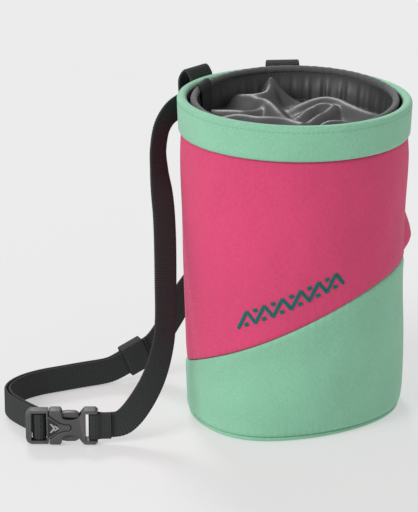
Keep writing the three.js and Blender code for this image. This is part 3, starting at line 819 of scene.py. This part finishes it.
def make_keeper():
    """A short sleeve of webbing round the strap and its tail."""
    half_width, half_depth, roundness, length = STRAP_WIDTH / 2 + 1.25, 3.45, 2 / 9, 14
    strap_before, strap_here, strap_after = (
        np.array(station) for station in (LONG_ROUTE[-2], LONG_ROUTE[-1], KEPT_ROUTE[1]))
    along = unit((strap_after - strap_before)[:3])
    turn = math.radians(strap_here[3])
    outward = np.array([-math.sin(turn), math.cos(turn), 0])
    across = unit(np.cross(outward, along))
    facing = unit(np.cross(along, across))
    centre = strap_here[:3] - facing * LAYER / 2
    q = np.linspace(0, 2 * math.pi, 240, endpoint=False)
    x, y = (np.copysign(np.abs(part) ** roundness, part) for part in (np.cos(q), np.sin(q)))
    path = centre + half_width * x[:, None] * across + half_depth * y[:, None] * facing
    even, s = evenly(np.vstack([path, path[:1]]), RIB_STEP)
    even, s = even[:-1], s[:-1]
    tangent = unit(np.roll(even, -1, axis=0) - np.roll(even, 1, axis=0))
    sideways = np.tile(along, (len(even), 1))
    normal = unit(np.cross(tangent, sideways))
    keeper = sweep("belt_keeper_band", even, sideways, normal, s, length, 1.1, closed=True)
    wears(keeper, "keeper", ["belt_keeper"])


make_belt()
make_loop("left_belt_loop", math.radians(140), 4, "belt_loop_left")
make_loop("back_belt_loop", math.radians(94), 1.6, "belt_loop_back")
make_brush_holder()
make_keeper()


# Twist closure

def ring_points(radius, height, angle):
    """Points about the ring's own axis, which leans back by RING_TILT."""
    radius, height, angle = np.broadcast_arrays(radius, height, angle)
    offset = np.stack([radius * np.cos(angle), radius * np.sin(angle), height - RING_PIVOT[2]], -1)
    return RING_PIVOT + leaned(offset)


def leaned(vectors):
    """Vectors turned about +X with the ring."""
    x, y, z = np.moveaxis(np.asarray(vectors, float), -1, 0)
    lean, rise = math.cos(RING_TILT), math.sin(RING_TILT)
    return np.stack([x, y * lean - z * rise, y * rise + z * lean], -1)


def make_casing():
    """The satin tube over the twist hoop, stitched below the hoop to a short hem."""
    outlines = []
    for angle in ANGLES:
        gather = 0.08 * math.sin(71 * angle + 2 * math.sin(5 * angle)) + 0.05 * math.sin(43 * angle + 1)
        turn = np.linspace(-0.6, math.pi + 0.6, 15)
        bead = np.stack([(1.85 + gather) * np.cos(turn), -1.9 + (1.9 + gather) * np.sin(turn)], -1)
        inner = np.array([[-1.0, -3.5], [-1.15, -4.2], [-1.15, -6.2], [-1.2, -8.2]])
        outer = np.array([[1.2, -8.2], [1.3, -6.2], [1.25, -4.2], [1.1, -3.5]])
        inner_back = inner[::-1] + [0.5, 0]
        outer_back = outer[::-1] - [0.5, 0]
        out, up = np.vstack([outer, bead, inner, inner_back, outer_back]).T
        outlines.append(ring_points(BEAD_MIDDLE + out, RING_TOP + up, angle))
    casing = revolved("ring_casing", outlines, RING_RADIUS, BINDING)
    wears(casing, "twist_ring", ["twist_casing"])
    line = ring_points(BEAD_MIDDLE - 1.1, RING_TOP - 3.5, FULL_TURN)
    stitch_row("ring_stitching", "twist_ring", DARK_THREAD, line, leaned(-OUTWARD),
               pitch=2.4, length=1.8, radius=0.2)


def make_pull_tab():
    """A webbing tab that hangs inside the ring and is folded over its top."""
    inner = RING_RADIUS - RING_DEPTH - 1
    points = [
        [inner - 0.6, RING_TOP - 15], [inner - 0.6, RING_TOP - 10], [inner - 0.4, RING_TOP - 5],
        [inner, RING_TOP - 0.6], [inner + 1.4, RING_TOP + 1.3], [inner + 3.2, RING_TOP + 1.1],
    ]
    path, across, facing, s = arch_frames(TAB_ANGLE, points)
    path = RING_PIVOT + leaned(path - [0, 0, RING_PIVOT[2]])
    tab = sweep("pull_tab_webbing", path, leaned(across), leaned(facing), s, 14, 1.1, rib=0.07)
    wears(tab, "twist_ring", ["twist_pull_tab"])


# The sleeve's folds: how far each reaches to either side, and its crest line as [x, y, height]
FOLDS = [
    (9, [[-12, 43, 181], [-15, 33, 177], [-24, 31, 175], [-33, 36, 173]]),
    (7, [[-12, 43, 181], [-6, 41, 176], [0, 39, 171], [6, 36, 168]]),
    (9, [[-34, 38, 173], [-27, 31, 174], [-18, 24, 175], [-13, 16, 175], [-9, 2, 174], [-5, -8, 172]]),
    (9, [[-46, 11, 172], [-37, 9, 172], [-28, 6, 172.5], [-20, 11, 172], [-15, 22, 171]]),
    (10, [[-41, -9, 173], [-30, -10, 175], [-19, -15, 175], [-5, -18, 175], [3, -25, 174]]),
    (10, [[-2, 17, 170], [5, 21, 173], [12, 23, 175], [19, 23, 176], [26, 18, 176], [31, 11, 175],
          [37, 4, 174], [44, -1, 173], [51, -2, 172]]),
    (8, [[3, 0, 171], [9, 10, 173], [16, 13, 175], [22, 11, 175], [18, 1, 174], [11, -13, 174],
         [5, -23, 172]]),
    (8, [[12, -34, 174], [17, -27, 175.5], [24, -26, 176], [31, -27, 175], [40, -24, 173]]),
    (9, [[-44, -22, 172], [-30, -30, 173], [-12, -38, 173], [4, -44, 172]]),
    (7, [[-50, 26, 174], [-46, 20, 170], [-44, 14, 168]]),
]
SLEEVE_RADIUS = BEAD_MIDDLE - 1.5
SLEEVE_FLOOR = 163.0
FOLD_WIDTH = 0.9


def fold_height(x, y, reach, line):
    """Height of one fold's sheet: a rounded crest that falls away to both sides."""
    crest = spline(line, 12 * len(line))
    best = np.full(x.shape, np.inf)
    level = np.zeros(x.shape)
    for cx, cy, cz in crest:
        away = (x - cx) ** 2 + (y - cy) ** 2
        nearer = away < best
        best = np.where(nearer, away, best)
        level = np.where(nearer, cz, level)
    return SLEEVE_FLOOR + (level - SLEEVE_FLOOR) * np.exp(-best / (FOLD_WIDTH * reach) ** 2)


def sleeve_heights(x, y):
    """The highest of the folds at each place, with soft valleys where two of them meet."""
    sharp, level = 0.7, 170
    total = np.exp(sharp * (SLEEVE_FLOOR - level + 0 * x))
    for reach, line in FOLDS:
        total = total + np.exp(sharp * (fold_height(x, y, reach, line) - level))
    ripple = 0.25 * np.sin(x / 3.7 + 1.3 * np.sin(y / 7)) * np.sin(y / 5.3 + x / 11)
    return level + np.log(total) / sharp + ripple


def sleeve_surface(angles, shares):
    """The sleeve down the wall and in to its twisted neck, over angles and shares of its length."""
    neck, wall_share, foot = 0.4, 0.16, 166.0
    angle, share = np.meshgrid(angles, shares, indexing="ij")
    down = np.clip(share / wall_share, 0, 1)
    inward = np.clip((share - wall_share) / (1 - wall_share), 0, 1)
    near_wall = smoothstep(1 - inward / 0.12)
    pleat = np.sin(46 * angle + 2.2 * np.sin(5 * angle) + 1.4 * np.sin(3 * angle + 1))
    pleat = pleat + 0.5 * np.sin(83 * angle + 3 * np.sin(4 * angle))
    strength = 0.6 + 0.4 * np.sin(2 * angle - 0.6)
    radius = SLEEVE_RADIUS - 1.3 * smoothstep(down) - inward * (SLEEVE_RADIUS - 1.3 - neck)
    radius = radius - (0.15 + 0.95 * smoothstep(down * 1.5)) * (pleat + 1.5) / 2.5 * strength * near_wall
    flat = ring_points(radius, RING_TOP - 4.0, angle)
    folds = sleeve_heights(flat[..., 0], flat[..., 1])
    wall = flat[..., 2] - down * (flat[..., 2] - foot)
    height = np.where(share <= wall_share, wall, foot * near_wall + folds * (1 - near_wall))
    return np.stack([flat[..., 0], flat[..., 1], height], -1)


def surface_normals(points):
    """The normals of a grid of points, kept finite where its rows meet."""
    du = np.gradient(points, axis=0)
    dv = np.gradient(points, axis=1)
    return unit(np.cross(du, dv) + 1e-9)


def make_sleeve():
    """Gores side by side, each two layers thick."""
    gores, steps, rows = 24, 20, 130
    thickness, step_width, anchor_inset = 0.4, 0.7, 0.75
    count = gores * steps
    shares = np.linspace(0, 1, rows)
    wide = np.arange(-2, count + 3) / count * 2 * math.pi
    surface = sleeve_surface(wide, shares)
    normals = surface_normals(surface)
    if normals[count // 2, rows - 20, 2] < 0:
        normals = -normals
    surface, normals = surface[2:-2], normals[2:-2]
    for k in range(gores):
        part = slice(k * steps, (k + 1) * steps + 1)
        top, up = surface[part], normals[part]
        under = top - up * thickness
        both = np.concatenate([top, under[:, ::-1]], axis=1)
        v = lengths(np.vstack([both[0], both[0][:1]]))
        u = np.linspace(0, steps * step_width, steps + 1)
        gore = grid(f"sleeve_gore_{k + 1:02d}", both, SATIN, u, v, wrap_cols=True)
        close_sides(gore, steps + 1, rows)
        all_normals = np.concatenate([up, -up[:, ::-1]], axis=1).reshape(-1, 3)
        gore.data.normals_split_custom_set_from_vertices(all_normals.tolist())
        wears(gore, "bag", ["closure_sleeve"])
        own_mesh(gore)


def close_sides(obj, rows, half):
    """Closes the cut sides of a two layered strip, whose rows hold the top layer and then the lower."""
    cols = 2 * half
    bm = bmesh.new()
    bm.from_mesh(obj.data)
    bm.verts.ensure_lookup_table()
    layer = bm.loops.layers.uv.active
    for row in (0, rows - 1):
        for j in range(half - 1):
            ids = [row * cols + j, row * cols + j + 1, row * cols + cols - 2 - j, row * cols + cols - 1 - j]
            if row == 0:
                ids = ids[::-1]
            face = bm.faces.new([bm.verts[i] for i in ids])
            face.smooth = True
            for loop in face.loops:
                loop[layer].uv = (0, 0)
    bmesh.ops.recalc_face_normals(bm, faces=bm.faces)
    bm.to_mesh(obj.data)
    bm.free()


make_casing()
make_pull_tab()
make_sleeve()


# Motif: a plain zigzag with lozenges, embroidered on the front above the slanting seam

def joined(name, parts):
    """One piece made of several meshes that share a material."""
    bm = bmesh.new()
    for part in parts:
        bm.from_mesh(part.data)
    mesh = bpy.data.meshes.new(name)
    bm.to_mesh(mesh)
    bm.free()
    mesh.materials.append(parts[0].data.materials[0])
    for part in parts:
        bpy.data.objects.remove(part)
    return linked(name, mesh)


def on_front(u, v, stand_off):
    """A point of the upper panel, u along the motif from its middle and v above its centre line."""
    angle = MOTIF_ANGLE + u / MIDDLE_RADIUS
    low, high = seam_height(angle), BAG_HEIGHT - BAND_HEIGHT
    height = low + MOTIF_RISE + v
    off = np.array([float(upper_outer(a, h, h - lo, high - h))
                    for a, h, lo in zip(angle, height, low)])
    return on_bag(angle, height, off + stand_off)


def embroidered(start, end, width):
    """One satin stitched stroke."""
    share = np.linspace(0, 1, 40)
    u = start[0] + (end[0] - start[0]) * share
    v = start[1] + (end[1] - start[1]) * share
    path, s = evenly(on_front(u, v, 0.12), 0.14)
    facing = unit(np.stack([path[:, 0], path[:, 1], 0 * s], -1))
    along = unit(np.gradient(path, axis=0))
    across = unit(np.cross(facing, along))
    return sweep("stroke", path, across, facing, s, width, 0.75, TEAL_THREAD, rib=0.1, pitch=0.56)


def make_motif():
    teeth, pitch, peak, thread = 6, 10.0, 4.2, 2.1
    start, lozenge, lozenge_height = -teeth * pitch / 2, 2.2, 3.4
    strokes = []
    for k in range(teeth):
        x = start + k * pitch
        strokes.append(embroidered((x, -peak), (x + pitch / 2, peak), thread))
        strokes.append(embroidered((x + pitch / 2, peak), (x + pitch, -peak), thread))
    for count, shift, height in ((teeth, 0.5, -lozenge_height), (teeth - 1, 1, lozenge_height)):
        for k in range(count):
            x = start + (k + shift) * pitch
            ends = (x - lozenge / 2, height), (x + lozenge / 2, height)
            strokes.append(embroidered(*ends, lozenge))
    wears(joined("zigzag_motif", strokes), "bag")


make_motif()


# Buckle

def softened(node, name, body):
    """A copy of a moulded CAD part with its edges rounded."""
    weld_distance, flat_angle, width = 1e-5, math.radians(1), 0.45
    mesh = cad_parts[node].data.copy()
    bm = bmesh.new()
    bm.from_mesh(mesh)
    bmesh.ops.remove_doubles(bm, verts=bm.verts, dist=weld_distance)
    bmesh.ops.dissolve_limit(bm, angle_limit=flat_angle, verts=bm.verts, edges=bm.edges)
    bm.to_mesh(mesh)
    bm.free()
    mesh.materials.clear()
    mesh.materials.append(PLASTIC)
    obj = linked(name, mesh)
    round_edges(obj, width)
    wears(obj, body, [node])


def buckle_plate(name, outline, front, back, material=PLASTIC, width=0.3):
    """A plate on the plug with rounded edges, from an outline in the buckle's length and height,
    between two depths."""
    bm = bmesh.new()
    verts = [bm.verts.new(Vector(BUCKLE + [x, front, z]) * MM) for x, z in outline]
    face = bm.faces.new(verts)
    side = bmesh.ops.extrude_face_region(bm, geom=[face])
    moved = [v for v in side["geom"] if isinstance(v, bmesh.types.BMVert)]
    bmesh.ops.translate(bm, verts=moved, vec=Vector((0, (back - front) * MM, 0)))
    bmesh.ops.recalc_face_normals(bm, faces=bm.faces)
    mesh = bpy.data.meshes.new(name)
    bm.to_mesh(mesh)
    bm.free()
    mesh.materials.append(material)
    obj = linked(name, mesh)
    round_edges(obj, width)
    wears(obj, "buckle_plug")


def round_edges(obj, width):
    bevel = obj.modifiers.new("round", "BEVEL")
    bevel.width = width * MM
    bevel.segments = 3
    bevel.limit_method = "ANGLE"
    bevel.angle_limit = math.radians(30)
    bevel.harden_normals = True
    obj.data.polygons.foreach_set("use_smooth", [True] * len(obj.data.polygons))


def mirrored(points):
    """The outline whose upper half is points."""
    return points + [[x, -z] for x, z in reversed(points)]


def make_buckle_trim():
    cover = mirrored([[-8.2, 7.3], [-5.6, 5.8], [-3.8, 4.4], [-1, 2.5], [2.3, 1.6], [4.2, 1.6], [4.9, 0.8]])
    hollow = mirrored([[-7.7, 6.0], [-5.4, 4.5], [-3.6, 3.2], [-2.0, 2.0]])
    # Each cover gets a thin near-black plate over its hollow, standing a little proud of it: painted shade
    # in place of a real recess.
    for side, label in ((-1, "front"), (1, "back")):
        buckle_plate(f"plug_cover_{label}", cover, side * 4.1, side * 2.5)
        buckle_plate(f"plug_hollow_shade_{label}", hollow, side * 4.2, side * 3.9, DARK_PLASTIC_AND_SHADE, 0.1)
    for k, x in enumerate((-6.6, -4.6)):
        half = 2.6 - k
        arrow = [[x, half], [x + 1.1, half], [x + 3.1, 0], [x + 1.1, -half], [x, -half], [x + 2.0, 0]]
        buckle_plate(f"plug_chevron_{k + 1}", arrow, -4.45, -4.15, SILVER_PRINT, 0.08)
    web = mirrored([[-8.2, 7.6], [-4.5, 7.2], [-1, 4.6]])
    buckle_plate("plug_web", web, 2.4, 2.65, DARK_PLASTIC_AND_SHADE, 0.05)
    base, faces = capsule(1.3, 0.45)
    teeth, quads = [], []
    for z in np.linspace(-6.4, 6.4, 9):
        for side in (-1, 1):
            quads += [[q + len(teeth) * len(base) for q in face] for face in faces]
            teeth.append(BUCKLE + [-18.6, side * 3.0, z] + base)
    wears(make_mesh("plug_grip", np.vstack(teeth), quads, PLASTIC), "buckle_plug")


softened("buckle_socket", "socket_body", "bag")
softened("plug_frame", "plug_body", "buckle_plug")
softened("plug_arm_upper", "upper_latch", "upper_arm")
softened("plug_arm_lower", "lower_latch", "lower_arm")
make_buckle_trim()

# The pieces that nothing replaces are hidden inside the cloth
for node, material in (("base_stiffener", FOAM), ("rim_hoop", STEEL), ("twist_hoop", STEEL)):
    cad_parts[node].data.materials.clear()
    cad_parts[node].data.materials.append(material)


# Floor

def make_floor():
    """A pale disc a little below the bag, far wider than the view."""
    finish = Finish("floor_paper", Roughness=0.9, Specular_IOR_Level=0.0)
    grain = finish.noise(3, detail=2.0, source="Object")
    finish.tint(grain, (0.38, 0.38, 0.38), (0.40, 0.40, 0.40))
    finish.shader.inputs["Emission Color"].default_value = (1, 1, 1, 1)
    finish.shader.inputs["Emission Strength"].default_value = 0.44
    radius, corners, drop = 9000, 64, 0.4
    turn = np.linspace(0, 2 * math.pi, corners, endpoint=False)
    points = np.stack([radius * np.cos(turn), radius * np.sin(turn), 0 * turn - drop], -1)
    blank_uv = np.zeros((corners, 2))
    floor = make_mesh("floor", points, [list(range(corners))], finish.material, blank_uv, smooth=False)


make_floor()
